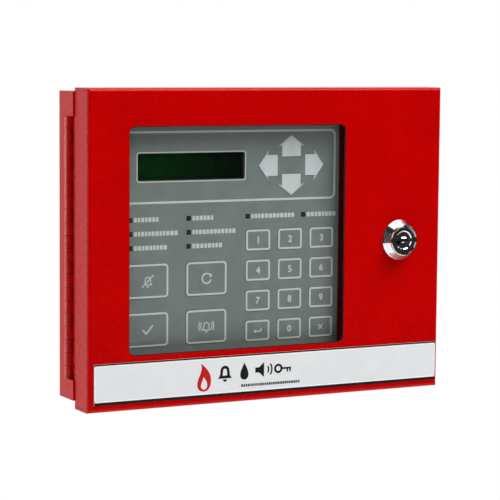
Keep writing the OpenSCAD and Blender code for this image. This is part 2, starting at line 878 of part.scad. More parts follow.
module cam_bolt() {
    color("silver") {
        bar(lock_x, lock_z, cam_y + cam_t - 7, 7, cam_bolt_r);
        hex_bar(lock_x, lock_z, cam_y + cam_t, 3, 10);
    }
}

back_box();
hinge_box_leaf();
hinge_pin();
latch_catch();
earth_stud();
earth_nut();
panel_standoffs();
panel_screws();
carrier_plate();
keypad_overlay();
led_windows();
status_leds();
key_domes();
keypad_board();
board_spacers();
board_screws();
display_frame();
display_glass();
display_board();
display_posts();
display_ribbon();
controller_chip();
capacitors();
voltage_regulator();
sounder();
terminal_block();
terminal_screws();
address_switch();
door();
hinge_door_leaf();
window_pane();
pane_studs();
pane_clips();
pane_nuts();
name_plate();
lock_housing();
lock_nut();
lock_plug();
lock_cam();
cam_bolt();
for (k = FUNCTION_KEYS) function_key(k);
for (k = NUMBER_KEYS) number_key(k);
for (k = ARROW_KEYS) arrow_key(k);
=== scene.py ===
"""Looks for the wall keypad of a fire alarm system: a red steel box with a windowed, locked door.

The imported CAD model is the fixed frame. Its nodes get procedural finishes here, and the printed,
embossed and moulded details are pieces that ride on its bodies. X points right, Y back, Z up.
"""

import math
import random

import bmesh
import bpy
from mathutils import Matrix, Vector


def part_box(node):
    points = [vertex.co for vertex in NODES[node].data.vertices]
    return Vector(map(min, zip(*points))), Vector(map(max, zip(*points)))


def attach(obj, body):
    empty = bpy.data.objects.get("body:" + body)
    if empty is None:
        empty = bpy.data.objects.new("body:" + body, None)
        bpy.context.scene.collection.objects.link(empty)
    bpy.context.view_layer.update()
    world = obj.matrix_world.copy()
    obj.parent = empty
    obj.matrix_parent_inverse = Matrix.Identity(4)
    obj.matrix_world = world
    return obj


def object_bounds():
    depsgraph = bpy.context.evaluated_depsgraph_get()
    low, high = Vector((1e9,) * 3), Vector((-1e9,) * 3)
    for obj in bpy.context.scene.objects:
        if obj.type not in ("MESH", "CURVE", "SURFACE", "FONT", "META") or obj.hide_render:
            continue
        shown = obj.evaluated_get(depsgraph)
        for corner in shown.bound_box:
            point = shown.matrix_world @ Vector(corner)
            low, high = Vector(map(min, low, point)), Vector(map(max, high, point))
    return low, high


MM = 0.001
SEED = 7
# How far ink stands out of the surface under it, and how far it reaches in
INK = 0.04 * MM
SUNK = 0.01 * MM
# Two places nearer than this, in metres, are one
SAME_PLACE = 1e-6

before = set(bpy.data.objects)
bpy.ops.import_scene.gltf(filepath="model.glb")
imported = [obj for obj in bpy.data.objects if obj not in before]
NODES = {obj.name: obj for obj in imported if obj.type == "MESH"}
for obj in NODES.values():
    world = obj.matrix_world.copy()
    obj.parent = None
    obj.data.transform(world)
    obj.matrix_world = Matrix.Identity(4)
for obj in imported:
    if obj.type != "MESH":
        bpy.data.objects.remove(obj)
cad_low, cad_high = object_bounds()
chance = random.Random(SEED)


# ---------- Outlines, as lists of (x, z) points that run anticlockwise seen from the front ----------


def arc(x, z, radius, start, end, steps=8):
    """Points on an arc, its angles in degrees from +X towards +Z."""
    angles = [math.radians(start + (end - start) * i / steps) for i in range(steps + 1)]
    return [(x + radius * math.cos(a), z + radius * math.sin(a)) for a in angles]


def rounded(x, z, width, height, radius):
    """A rectangle with round corners about (x, z)."""
    dx, dz = width / 2 - radius, height / 2 - radius
    corners = [(x + dx, z + dz, 0), (x - dx, z + dz, 90), (x - dx, z - dz, 180), (x + dx, z - dz, 270)]
    return [p for cx, cz, start in corners for p in arc(cx, cz, radius, start, start + 90)]


def placed(points, x, z, scale=1.0, turn=0.0):
    """The same outline, turned by degrees, scaled, and moved to (x, z)."""
    c, s = math.cos(math.radians(turn)) * scale, math.sin(math.radians(turn)) * scale
    return [(x + px * c - pz * s, z + px * s + pz * c) for px, pz in points]


def mitres(points, closed):
    """At each point, the step sideways that moves both of its edges out by one."""
    normals = []
    count = len(points)
    for i in range(count if closed else count - 1):
        ax, az = points[i]
        bx, bz = points[(i + 1) % count]
        length = math.hypot(bx - ax, bz - az)
        normals.append(((bz - az) / length, (ax - bx) / length))
    steps = []
    for i in range(count):
        before = normals[i - 1] if closed or i else normals[0]
        after = normals[i % len(normals)] if closed or i < count - 1 else normals[-1]
        share = 1 + before[0] * after[0] + before[1] * after[1]
        steps.append(((before[0] + after[0]) / share, (before[1] + after[1]) / share))
    return steps


def grown(points, distance):
    """A closed outline moved out by distance, or in where distance is negative."""
    steps = mitres(points, True)
    return [(x + dx * distance, z + dz * distance) for (x, z), (dx, dz) in zip(points, steps)]


def ribbon(points, width):
    """The outline of a stroke of even width along an open line."""
    steps = mitres(points, False)
    right = [(x + dx * width / 2, z + dz * width / 2) for (x, z), (dx, dz) in zip(points, steps)]
    left = [(x - dx * width / 2, z - dz * width / 2) for (x, z), (dx, dz) in zip(points, steps)]
    return right + left[::-1]


def border(points, width):
    """A closed band of even width just inside an outline."""
    return (points, grown(points, -width))


def front_outline(node):
    """The outer outline of a CAD node's front face, and that face's depth."""
    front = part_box(node)[0].y
    bm = bmesh.new()
    bm.from_mesh(NODES[node].data)
    bmesh.ops.remove_doubles(bm, verts=bm.verts, dist=SAME_PLACE)
    flat = [f for f in bm.faces if all(abs(v.co.y - front) < SAME_PLACE for v in f.verts)]
    ahead = {}
    for face in flat:
        for loop in face.loops:
            if sum(f in flat for f in loop.edge.link_faces) == 1:
                ahead[loop.vert.index] = loop.link_loop_next.vert.index
    places = {v.index: (v.co.x, v.co.z) for v in bm.verts}
    bm.free()
    longest, reach = [], 0
    while ahead:
        start = next(iter(ahead))
        loop, at = [], start
        while at in ahead:
            loop.append(places[at])
            at = ahead.pop(at)
        span = max(x for x, _ in loop) - min(x for x, _ in loop)
        if span > reach:
            longest, reach = loop, span
    area = sum(a[0] * b[1] - b[0] * a[1] for a, b in zip(longest, longest[1:] + longest[:1]))
    return (longest if area > 0 else longest[::-1]), front


# ---------- Pieces ----------

# A figure is made at a text size of one, this thick on each side and with this much heavier strokes
FIGURE_DEPTH = 0.01
FIGURE_WEIGHT = 0.02


def show(name, mesh, finish, body):
    """Puts a mesh in the scene, to ride on a CAD body."""
    mesh.materials.append(finish)
    obj = bpy.data.objects.new(name, mesh)
    bpy.context.scene.collection.objects.link(obj)
    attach(obj, body)


def piece(name, vertices, faces, finish, body, smooth=False):
    """A piece made of those vertices and faces."""
    mesh = bpy.data.meshes.new(name)
    mesh.from_pydata(vertices, [], faces)
    mesh.polygons.foreach_set("use_smooth", [smooth] * len(mesh.polygons))
    show(name, mesh, finish, body)


def walls(vertices, faces, points, front, back, inward):
    """Adds an outline's points at two depths and the walls between them, and returns the front ones."""
    start, count = len(vertices), len(points)
    vertices += [(x, front, z) for x, z in points] + [(x, back, z) for x, z in points]
    for i in range(count):
        j = (i + 1) % count
        side = (start + i, start + count + i, start + count + j, start + j)
        faces.append(side[::-1] if inward else side)
    return list(range(start, start + count))


def plates(name, shapes, front, back, finish, body):
    """Flat plates between two depths: an outline is solid, and a pair of outlines is a band."""
    vertices, faces = [], []
    for shape in shapes:
        if isinstance(shape, tuple):
            outer = walls(vertices, faces, shape[0], front, back, False)
            inner = walls(vertices, faces, shape[1], front, back, True)
            count = len(outer)
            for i in range(count):
                j = (i + 1) % count
                face = (outer[i], outer[j], inner[j], inner[i])
                faces += [face, tuple(v + count for v in face[::-1])]
        else:
            rim = walls(vertices, faces, shape, front, back, False)
            faces += [tuple(rim), tuple(v + len(rim) for v in rim[::-1])]
    piece(name, vertices, faces, finish, body)


def printed(name, shapes, surface, finish, body):
    """Ink that stands a hair proud of a surface at that depth."""
    plates(name, shapes, surface - INK, surface + SUNK, finish, body)


def turned(name, profile, places, finish, body, steps=32):
    """Round details along Y: profile holds (radius, depth) from the rim to the middle, at each (x, z)."""
    vertices, faces = [], []
    for x, z in places:
        start = len(vertices)
        for radius, depth in profile[:-1]:
            ring = arc(x, z, radius, 0, 360, steps)[:-1]
            vertices += [(px, depth, pz) for px, pz in ring]
        vertices.append((x, profile[-1][1], z))
        for r in range(len(profile) - 2):
            for i in range(steps):
                j = (i + 1) % steps
                a, b = start + r * steps, start + (r + 1) * steps
                faces.append((a + i, a + j, b + j, b + i))
        last = start + (len(profile) - 2) * steps
        tip = len(vertices) - 1
        faces += [(last + i, last + (i + 1) % steps, tip) for i in range(steps)]
    piece(name, vertices, faces, finish, body, smooth=True)


def figure(name, digit, x, z, height, surface, finish, body):
    """A printed figure of that height, its middle at (x, z)."""
    text = bpy.data.curves.new(name, "FONT")
    text.body = digit
    text.size = 1
    text.extrude = FIGURE_DEPTH
    text.offset = FIGURE_WEIGHT
    source = bpy.data.objects.new(name + "_text", text)
    bpy.context.scene.collection.objects.link(source)
    bpy.context.view_layer.update()
    mesh = bpy.data.meshes.new_from_object(source.evaluated_get(bpy.context.evaluated_depsgraph_get()))
    bpy.data.objects.remove(source)
    xs = [v.co.x for v in mesh.vertices]
    ys = [v.co.y for v in mesh.vertices]
    scale = height / (max(ys) - min(ys))
    middle_x, middle_y = (min(xs) + max(xs)) / 2, (min(ys) + max(ys)) / 2
    for v in mesh.vertices:
        depth = surface - INK if v.co.z > 0 else surface + SUNK
        v.co = (x + (v.co.x - middle_x) * scale, depth, z + (v.co.y - middle_y) * scale)
    mesh.name = name
    mesh.materials.clear()
    show(name, mesh, finish, body)


# ---------- Finishes: colours are linear, and the sizes and depths of textures are in metres ----------

# The colour sockets of a Mix node, which has a set of sockets for each kind of data
MIX_FIRST, MIX_SECOND, MIX_RESULT = 6, 7, 2


def map_range(nodes, links, value, low, high, start, end):
    """A node's output taken from start..end to low..high, and held there beyond them."""
    node = nodes.new("ShaderNodeMapRange")
    links.new(value, node.inputs["Value"])
    for socket, number in zip(("From Min", "From Max", "To Min", "To Max"), (start, end, low, high)):
        node.inputs[socket].default_value = number
    return node.outputs["Result"]


class Finish:
    """A Principled material whose textures are laid in the object's own coordinates."""

    def __init__(self, name, colour, roughness, **sockets):
        self.material = bpy.data.materials.new(name)
        self.material.use_nodes = True
        self.nodes = self.material.node_tree.nodes
        self.links = self.material.node_tree.links
        self.shader = self.nodes["Principled BSDF"]
        self.shader.inputs["Base Color"].default_value = (*colour, 1)
        self.shader.inputs["Roughness"].default_value = roughness
        for socket, value in sockets.items():
            self.shader.inputs[socket.replace("_", " ")].default_value = value
        self.place = self.nodes.new("ShaderNodeTexCoord").outputs["Object"]

    def laid_flat(self):
        """The object's coordinates, turned so that a flat pattern faces the front."""
        mapping = self.nodes.new("ShaderNodeMapping")
        mapping.inputs["Rotation"].default_value = (math.radians(90), 0, 0)
        self.links.new(self.place, mapping.inputs["Vector"])
        return mapping.outputs["Vector"]

    def noise(self, size, detail):
        """Noise whose features are about size metres across."""
        texture = self.nodes.new("ShaderNodeTexNoise")
        texture.inputs["Scale"].default_value = 1 / size
        texture.inputs["Detail"].default_value = detail
        self.links.new(self.place, texture.inputs["Vector"])
        return texture.outputs["Fac"]

    def ranged(self, value, low, high, start=0.3, end=0.7):
        """A value taken from start..end to low..high."""
        return map_range(self.nodes, self.links, value, low, high, start, end)

    def mixed(self, share, first, second):
        """A colour between two, each a colour or the output of another node."""
        node = self.nodes.new("ShaderNodeMix")
        node.data_type = "RGBA"
        self.links.new(share, node.inputs["Factor"])
        for index, colour in ((MIX_FIRST, first), (MIX_SECOND, second)):
            if isinstance(colour, tuple):
                node.inputs[index].default_value = (*colour, 1)
            else:
                self.links.new(colour, node.inputs[index])
        return node.outputs[MIX_RESULT]

    def colour(self, output):
        self.links.new(output, self.shader.inputs["Base Color"])

    def drift(self, size, first, second):
        """A colour that drifts between two."""
        return self.mixed(self.ranged(self.noise(size, 3), 0, 1), first, second)

    def mottled(self, first, second, size):
        self.colour(self.drift(size, first, second))

    def uneven_gloss(self, low, high, size):
        self.links.new(self.ranged(self.noise(size, 3), low, high), self.shader.inputs["Roughness"])

    def sideways(self):
        """How far a surface faces to the left or the right, from 0 to 1."""
        split = self.nodes.new("ShaderNodeSeparateXYZ")
        self.links.new(self.place.node.outputs["Normal"], split.inputs["Vector"])
        share = self.nodes.new("ShaderNodeMath")
        share.operation = "ABSOLUTE"
        self.links.new(split.outputs["X"], share.inputs[0])
        return share.outputs["Value"]

    def bumped(self, height, depth, strength):
        """Relief depth metres deep from a height between 0 and 1, over any relief that is there already."""
        bump = self.nodes.new("ShaderNodeBump")
        bump.inputs["Distance"].default_value = depth
        if isinstance(strength, float):
            bump.inputs["Strength"].default_value = strength
        else:
            self.links.new(strength, bump.inputs["Strength"])
        self.links.new(height, bump.inputs["Height"])
        if self.shader.inputs["Normal"].links:
            self.links.new(self.shader.inputs["Normal"].links[0].from_socket, bump.inputs["Normal"])
        self.links.new(bump.outputs["Normal"], self.shader.inputs["Normal"])
        return self


def red_powder_coat(name, roughness, shine):
    """Textured red powder coat, whose grain shows most on surfaces that face left or right. The pinkish
    specks on the front are painted glints. The lighter and darker red grain on surfaces that face left or
    right is partly the coat's grain and partly painted sheen and shade.
    """
    f = Finish(name, (0.53, 0, 0), roughness, Specular_IOR_Level=shine)
    # Pinkish specks on the front: painted glints
    glint_specks = f.ranged(f.noise(0.5 * MM, 1), 0, 1, 0.74, 0.8)
    paint = f.drift(24 * MM, (0.5, 0, 0.0002), (0.56, 0, 0))
    front = f.mixed(glint_specks, paint, (0.64, 0.012, 0.012))
    # Lighter and darker red grain for surfaces that face left or right: partly the coat's grain, partly
    # painted sheen and shade from light at a grazing angle
    grain_and_sheen = f.mixed(f.ranged(f.noise(0.8 * MM, 1), 0, 1, 0.4, 0.6), (0.44, 0, 0), (0.6, 0.018, 0.016))
    side = f.ranged(f.sideways(), 0, 1, 0.5, 0.9)
    f.colour(f.mixed(side, front, grain_and_sheen))
    f.uneven_gloss(0.85 * roughness, 1.2 * roughness, 4 * MM)
    f.bumped(f.noise(3 * MM, 2), 0.03 * MM, 0.3)
    return f.bumped(f.noise(0.9 * MM, 2), 0.22 * MM, f.ranged(side, 0.1, 0.8, 0, 1)).material


def zinc_steel():
    """Zinc-plated sheet, with soft spangles."""
    f = Finish("zinc_steel", (0.52, 0.53, 0.54), 0.4, Metallic=1.0)
    f.mottled((0.42, 0.43, 0.44), (0.62, 0.62, 0.6), 5 * MM)
    f.uneven_gloss(0.28, 0.5, 3 * MM)
    return f.bumped(f.noise(0.8 * MM, 3), 0.02 * MM, 0.4).material


def bright_steel():
    """Turned, plated screws and pins."""
    f = Finish("bright_steel", (0.6, 0.6, 0.6), 0.28, Metallic=1.0)
    f.mottled((0.5, 0.5, 0.51), (0.68, 0.67, 0.66), 1.5 * MM)
    f.uneven_gloss(0.2, 0.36, 1 * MM)
    return f.bumped(f.noise(0.25 * MM, 2), 0.01 * MM, 0.3).material


def chrome():
    """Polished chrome with faint handling marks."""
    f = Finish("chrome", (0.72, 0.72, 0.73), 0.08, Metallic=1.0)
    f.mottled((0.66, 0.66, 0.68), (0.76, 0.76, 0.76), 3 * MM)
    f.uneven_gloss(0.05, 0.13, 0.8 * MM)
    return f.bumped(f.noise(2 * MM, 2), 0.01 * MM, 0.2).material


def brass():
    f = Finish("brass", (0.62, 0.42, 0.16), 0.3, Metallic=1.0)
    f.mottled((0.55, 0.36, 0.12), (0.7, 0.49, 0.2), 2 * MM)
    f.uneven_gloss(0.22, 0.4, 1 * MM)
    return f.bumped(f.noise(0.3 * MM, 2), 0.01 * MM, 0.3).material


def overlay_film():
    """Grey polyester film with a fine matt texture."""
    f = Finish("overlay_film", (0.17, 0.2, 0.185), 0.42, Specular_IOR_Level=0.3)
    f.mottled((0.18, 0.216, 0.202), (0.213, 0.247, 0.232), 9 * MM)
    f.uneven_gloss(0.36, 0.5, 2 * MM)
    return f.bumped(f.noise(0.3 * MM, 2), 0.02 * MM, 0.45).material


def pale_ink():
    f = Finish("pale_ink", (0.6, 0.66, 0.63), 0.5, Specular_IOR_Level=0.3)
    f.mottled((0.56, 0.62, 0.59), (0.64, 0.69, 0.66), 1.2 * MM)
    return f.bumped(f.noise(0.3 * MM, 2), 0.01 * MM, 0.4).material


def arrow_ink():
    f = Finish("arrow_ink", (0.5, 0.545, 0.555), 0.48, Specular_IOR_Level=0.3)
    f.mottled((0.6, 0.655, 0.66), (0.67, 0.72, 0.725), 4 * MM)
    return f.bumped(f.noise(0.3 * MM, 2), 0.02 * MM, 0.4).material


def clear_pane():
    """Clear acrylic, which adds only its faint reflections to what lies behind it."""
    f = Finish("clear_pane", (0.92, 0.93, 0.93), 0.04, Metallic=1.0, Alpha=0.04)
    f.mottled((0.88, 0.9, 0.9), (0.95, 0.96, 0.96), 30 * MM)
    f.uneven_gloss(0.03, 0.07, 14 * MM)
    f.material.blend_method = "BLEND"
    return f.material


def smoked_lens():
    f = Finish("smoked_lens", (0.004, 0.004, 0.005), 0.18, Coat_Weight=0.3)
    f.mottled((0.003, 0.003, 0.004), (0.007, 0.007, 0.008), 0.8 * MM)
    return f.bumped(f.noise(0.4 * MM, 2), 0.01 * MM, 0.3).material


def led_resin():
    """The clear resin of an unlit status light."""
    f = Finish("led_resin", (0.02, 0.021, 0.021), 0.3, Coat_Weight=0.2)
    f.mottled((0.012, 0.013, 0.013), (0.03, 0.03, 0.03), 0.6 * MM)
    return f.bumped(f.noise(0.5 * MM, 2), 0.01 * MM, 0.3).material


def unlit_display(name, dark, light):
    """Part of an unlit display: green, with painted shade that starts a fifth of the way across and darkens
    it to black at its right end.
    """
    low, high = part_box("display_glass")
    f = Finish(name, light, 0.08, Specular_IOR_Level=0.15)
    split = f.nodes.new("ShaderNodeSeparateXYZ")
    f.links.new(f.place, split.inputs["Vector"])
    shade_from = low.x + (high.x - low.x) / 5
    shade_share = f.ranged(split.outputs["X"], 0, 1, shade_from, high.x)
    # Painted shade: towards the right the green is mixed into near black
    f.colour(f.mixed(shade_share, f.drift(6 * MM, dark, light), (0.0009, 0.0022, 0.001)))
    return f.bumped(f.noise(9 * MM, 1), 0.003 * MM, 0.2).material


def black_metal():
    f = Finish("black_metal", (0.02, 0.02, 0.022), 0.45, Metallic=0.6)
    f.mottled((0.015, 0.015, 0.017), (0.03, 0.03, 0.032), 2 * MM)
    f.uneven_gloss(0.36, 0.55, 1 * MM)
    return f.bumped(f.noise(0.4 * MM, 2), 0.02 * MM, 0.4).material


def plastic(name, dark, light):
    """Moulded plastic with a fine spark-eroded texture."""
    f = Finish(name, light, 0.4, Specular_IOR_Level=0.4)
    f.mottled(dark, light, 2 * MM)
    f.uneven_gloss(0.34, 0.5, 1 * MM)
    return f.bumped(f.noise(0.25 * MM, 2), 0.015 * MM, 0.5).material


def circuit_board():
    """Green solder mask over copper tracks."""
    f = Finish("circuit_board", (0.01, 0.11, 0.04), 0.3, Coat_Weight=0.3)
    tracks = f.nodes.new("ShaderNodeTexBrick")
    f.links.new(f.laid_flat(), tracks.inputs["Vector"])
    tracks.inputs["Scale"].default_value = 90
    tracks.inputs["Mortar Size"].default_value = 0.03
    tracks.inputs["Mortar Smooth"].default_value = 0.1
    mask = f.drift(7 * MM, (0.008, 0.09, 0.035), (0.013, 0.13, 0.05))
    f.colour(f.mixed(tracks.outputs["Fac"], mask, (0.03, 0.2, 0.08)))
    f.bumped(tracks.outputs["Fac"], 0.03 * MM, 0.5)
    return f.bumped(f.noise(0.4 * MM, 2), 0.01 * MM, 0.3).material


def grey_ribbon():
    """Flat cable: round wires side by side under grey vinyl."""
    f = Finish("grey_ribbon", (0.4, 0.41, 0.42), 0.45)
    wave = f.nodes.new("ShaderNodeTexWave")
    wave.inputs["Scale"].default_value = 80
    f.links.new(f.place, wave.inputs["Vector"])
    f.colour(f.mixed(wave.outputs["Fac"], (0.28, 0.29, 0.3), (0.46, 0.47, 0.48)))
    return f.bumped(wave.outputs["Fac"], 0.3 * MM, 0.8).material


def label_plastic():
    f = Finish("label_plastic", (0.8, 0.82, 0.83), 0.4, Specular_IOR_Level=0.2)
    f.mottled((0.785, 0.805, 0.815), (0.82, 0.835, 0.845), 12 * MM)
    f.uneven_gloss(0.34, 0.46, 6 * MM)
    return f.bumped(f.noise(0.4 * MM, 2), 0.01 * MM, 0.4).material


def label_ink(name, dark, light):
    f = Finish(name, light, 0.45, Specular_IOR_Level=0.2)
    f.mottled(dark, light, 1.5 * MM)
    return f.bumped(f.noise(0.3 * MM, 2), 0.01 * MM, 0.4).material


RED = red_powder_coat("red_powder_coat", 0.25, 0.12)
HINGE_RED = red_powder_coat("red_hinge_coat", 0.2, 1.0)
ZINC = zinc_steel()
STEEL = bright_steel()
CHROME = chrome()
BRASS = brass()
FILM = overlay_film()
PALE_INK = pale_ink()
ARROW_INK = arrow_ink()
PANE = clear_pane()
LENS = smoked_lens()
RESIN = led_resin()
GLASS = unlit_display("display_glass", (0.0004, 0.019, 0.003), (0.0007, 0.026, 0.0045))
CELL = unlit_display("display_cell", (0.0004, 0.022, 0.0034), (0.0007, 0.029, 0.005))
BLACK_METAL = black_metal()
BLACK_PLASTIC = plastic("black_plastic", (0.012, 0.012, 0.013), (0.025, 0.025, 0.027))
GREEN_PLASTIC = plastic("green_plastic", (0.01, 0.16, 0.05), (0.02, 0.23, 0.08))
RED_PLASTIC = plastic("red_plastic", (0.3, 0.01, 0.015), (0.4, 0.02, 0.025))
SLEEVE = plastic("capacitor_sleeve", (0.01, 0.015, 0.07), (0.02, 0.028, 0.11))
BOARD = circuit_board()
RIBBON = grey_ribbon()
LABEL = label_plastic()
WHITE_INK = label_ink("white_ink", (0.92, 0.92, 0.92), (0.97, 0.97, 0.97))
BLACK_INK = label_ink("black_ink", (0.004, 0.004, 0.004), (0.01, 0.01, 0.01))
# Near-black red for the plates that paint the shadow inside the door's corner slits
SEAM_SHADOW = label_ink("seam_shadow", (0.05, 0, 0), (0.09, 0.002, 0.002))
RED_INK = label_ink("red_ink", (0.5, 0.005, 0.01), (0.6, 0.01, 0.012))

FUNCTION_KEYS = ["key_acknowledge", "key_drill", "key_silence", "key_reset"]
NUMBER_KEYS = ["key_%d" % n for n in range(10)]
WORD_KEYS = ["key_enter", "key_escape"]
ARROW_KEYS = ["key_up", "key_left", "key_down", "key_right"]

FINISHES = [
    (RED, ["back_box", "door"]),
    (HINGE_RED, ["hinge_box_leaf", "hinge_pin", "hinge_door_leaf"]),
    (ZINC, ["latch_catch", "carrier_plate", "lock_nut", "lock_cam", "cam_bolt", "pane_clips"]),
    (STEEL, ["panel_screws", "board_spacers", "board_screws", "key_domes",
             "terminal_screws", "pane_studs", "pane_nuts"]),
    (CHROME, ["lock_housing", "lock_plug"]),
    (BRASS, ["earth_stud", "earth_nut", "panel_standoffs", "display_posts"]),
    (FILM, ["keypad_overlay"] + FUNCTION_KEYS + NUMBER_KEYS + WORD_KEYS),
    (ARROW_INK, ARROW_KEYS),
    (PANE, ["window_pane"]),
    (LENS, ["led_windows"]),
    (RESIN, ["status_leds"]),
    (GLASS, ["display_glass"]),
    (BLACK_METAL, ["display_frame"]),
    (BLACK_PLASTIC, ["controller_chip", "voltage_regulator", "sounder"]),
    (GREEN_PLASTIC, ["terminal_block"]),
    (RED_PLASTIC, ["address_switch"]),
    (SLEEVE, ["capacitors"]),
    (BOARD, ["keypad_board", "display_board"]),
    (RIBBON, ["display_ribbon"]),
    (LABEL, ["name_plate"]),
]


def finish_nodes():
    for finish, names in FINISHES:
        for name in names:
            data = NODES[name].data
            data.materials.clear()
            data.materials.append(finish)


# ---------- Pictograms, in millimetres about their own middle ----------


def bell(stroke):
    """A bell's outline and its clapper."""
    body = arc(0, 0.7, 1.9, 0, 180) + [(-2.1, -1.2), (-3, -2.3), (3, -2.3), (2.1, -1.2)]
    return [border(body, stroke), arc(0, -2.7, 0.9, 180, 360, 6)]


def waves(stroke):
    """Two short arcs on either side, as from something that rings."""
    return [ribbon(arc(0, 0.2, r, a - 32, a + 32), stroke) for a in (0, 180) for r in (3.6, 4.8)]


def slash(stroke):
    return [ribbon([(-3.6, -3.4), (3.6, 3.4)], stroke)]


def turn_back(stroke):
    """An arrow that runs most of the way round."""
    head = [(3.4, 1.9), (0.7, 2.9), (2.4, -0.1)]
    return [ribbon(arc(0, 0, 2.8, 60, 345, 24), stroke), placed(head, 0.2, 0.3)]


def tick(stroke):
    return [ribbon([(-3, 0.1), (-0.9, -2.2), (3.2, 2.6)], stroke)]


def cross(stroke):
    return [ribbon([(-1.5, -1.5 * s), (1.5, 1.5 * s)], stroke) for s in (1, -1)]


def enter(stroke):
    """An arrow that turns left at its end."""
    head = [(-1.2, -1.9), (-1.2, 0.9), (-3, -0.5)]
    return [ribbon([(2.6, 1.7), (2.6, -0.5), (-1.4, -0.5)], stroke), head]


def drop(height, sway=0.0):
    """A drop with its tip up. Sway bends its upper half to one side and back."""
    steps, bend, sharpness, plumpness = 32, 1.2 * math.pi, 1.4, 0.37
    points = []
    for i in range(steps):
        t = math.tau * i / steps
        rise = math.cos(t) / 2 + 0.5
        lean = sway * rise ** 2 * math.sin(rise * bend)
        half = abs(math.sin(t / 2)) ** sharpness * plumpness * height
        points.append((-math.sin(t) * half + lean, (rise - 0.5) * height))
    return points


def flame():
    """A flame with a smaller one left open inside it."""
    return [(drop(10.5, 1.8), placed(drop(10.5, 1.0), 0.1, -2.1, 0.46))]


def key_mark():
    """A key: a ring, a shank and two teeth."""
    ring = (arc(-2.4, 0, 2.3, 0, 360, 24)[:-1], arc(-2.4, 0, 1.2, 0, 360, 24)[:-1])
    teeth = [ribbon([(x, 0), (x, -1.8)], 0.8) for x in (2.6, 4.1)]
    return [ring, ribbon([(-0.2, 0), (4.6, 0)], 0.9)] + teeth


def horn():
    """A horn with the sound that comes from it."""
    cone = [(-4, -1.1), (-2.2, -1.1), (0.2, -3.2), (0.2, 3.2), (-2.2, 1.1), (-4, 1.1)]
    return [cone] + [ribbon(arc(0.2, 0, r, -38, 38), 0.7) for r in (2.2, 3.8)]


def scaled(shapes, x, z, scale):
    """Pictogram shapes about a point in metres."""
    return [
        tuple(placed(outline, x, z, scale * MM) for outline in shape)
        if isinstance(shape, tuple)
        else placed(shape, x, z, scale * MM)
        for shape in shapes
    ]


def legend(x, z, length, height, gap):
    """Blocks that stand for a line of words, from x to the right."""
    narrow, wide, corner = 0.55, 0.85, 0.12
    blocks, at = [], x
    while at < x + length:
        width = height * chance.uniform(narrow, wide)
        blocks.append(rounded(at + width / 2, z, width, height, corner * height))
        at += width + gap
    return blocks


# ---------- Details of the keypad ----------

# Widths of the printed lines
KEY_LINE = 1.1 * MM
ARROW_LINE = 0.35 * MM
PANEL_LINE = 1.2 * MM
# The frame's distance from the overlay's sides and its top, its height and its corners
PANEL_LINE_SIDE = 2.4 * MM
PANEL_LINE_TOP = 6.75 * MM
PANEL_LINE_H = 40.9 * MM
PANEL_LINE_R = 3.6 * MM
# The display's window, and how far out of it its line starts and ends
DISPLAY_W = 67.3 * MM
DISPLAY_H = 15.5 * MM
DISPLAY_R = 1 * MM
DISPLAY_LINE_IN = 0.2 * MM
DISPLAY_LINE_OUT = 0.8 * MM
# Character cells on the display, and the gaps between them
CELL_COLUMNS, CELL_ROWS = 20, 2
CELL_PITCH_X, CELL_PITCH_Z = 3.1 * MM, 6.0 * MM
CELL_GAP_X, CELL_GAP_Z = 0.45 * MM, 0.7 * MM
CELL_R = 0.1 * MM
# The plateau over a snap dome, and how far in from its rim it reaches each share of its height
EMBOSS = 0.12 * MM
EMBOSS_EDGE = [(0.12 * MM, 0.4), (0.3 * MM, 0.9), (0.6 * MM, 1)]
FUNCTION_EMBOSS_R = 4.9 * MM
FUNCTION_EMBOSS_DROP = 3.3 * MM
NUMBER_EMBOSS_R = 3.0 * MM
FIGURE_H = 4.0 * MM
# The status lights: the first row's distance from the overlay's top, and that of the rows from
# each other; the first columns' distances from its left side, and the last ones' from its right
LIGHT_TOP = 56.46 * MM
LIGHT_PITCH = 7.97 * MM
LIGHT_COLUMNS_LEFT = (5.4 * MM, 41.71 * MM)
LIGHT_COLUMNS_RIGHT = (60.26 * MM, 23.78 * MM)
# The lens's rings, as their radii and how far they stand out of the window
LENS_RINGS = [(0.7 * MM, -SUNK), (0.6 * MM, 0.06 * MM), (0.35 * MM, 0.1 * MM), (0, 0.12 * MM)]
# The row of blocks beside a light
LEGEND_START = 2.4 * MM
LEGEND_H = 2.6 * MM
LEGEND_GAP = 0.55 * MM
# The controller chip's legs: how many on each side, their sizes, and their middles' distance from it
LEGS = 16
LEG_PITCH = 0.8 * MM
LEG_L, LEG_W, LEG_T = 1.3 * MM, 0.35 * MM, 0.35 * MM
LEG_R = 0.05 * MM
LEG_MIDDLE = 0.55 * MM
# Each key's pictogram, and its scale
PICTOGRAMS = {
    "key_acknowledge": (tick(0.9), 1.0),
    "key_drill": (bell(0.6) + waves(0.6), 1.0),
    "key_silence": (bell(0.6) + slash(0.7), 1.0),
    "key_reset": (turn_back(0.85), 1.0),
    "key_enter": (enter(0.75), 0.85),
    "key_escape": (cross(0.75), 0.95),
}


def middle_of(node):
    """A node's middle from the front, as (x, z)."""
    low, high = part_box(node)
    return (low.x + high.x) / 2, (low.z + high.z) / 2


